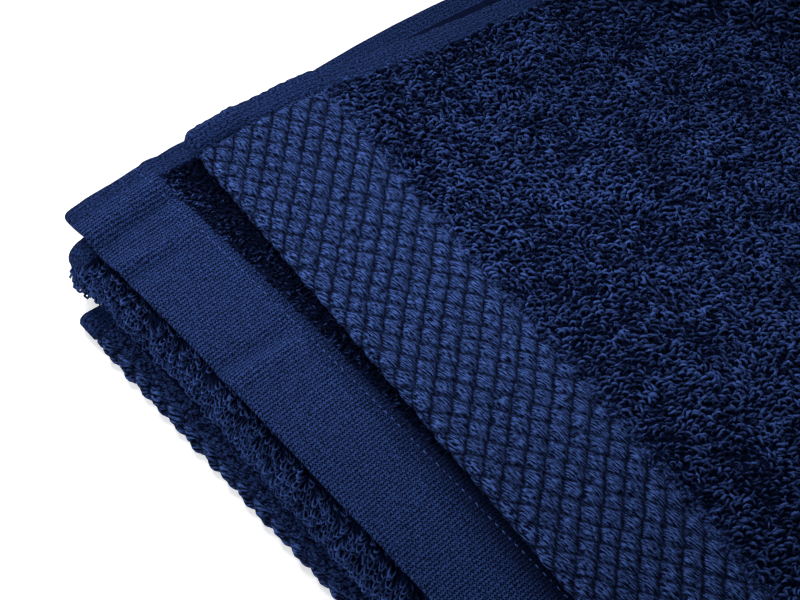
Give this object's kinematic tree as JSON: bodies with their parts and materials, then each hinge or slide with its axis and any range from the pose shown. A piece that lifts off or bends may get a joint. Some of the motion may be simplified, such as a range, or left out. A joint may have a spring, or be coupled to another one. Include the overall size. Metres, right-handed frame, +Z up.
{
  "type": "folded bath towel",
  "caption": "Looped terry bath towel with a woven diamond border, folded in long layers and laid flat with one hem turned out.",
  "frame": {"origin": "centre of the bounding box at the surface the towel lies on", "axes": "+X across the towel, along its folds; +Y from the front folds to the back ones; +Z up"},
  "size_m": [0.7438, 0.3498, 0.0409],
  "materials": {
    "navy_terry": "matte looped cotton"
  },
  "bodies": {
    "root": {"towel": "navy_terry"}
  },
  "joints": []
}
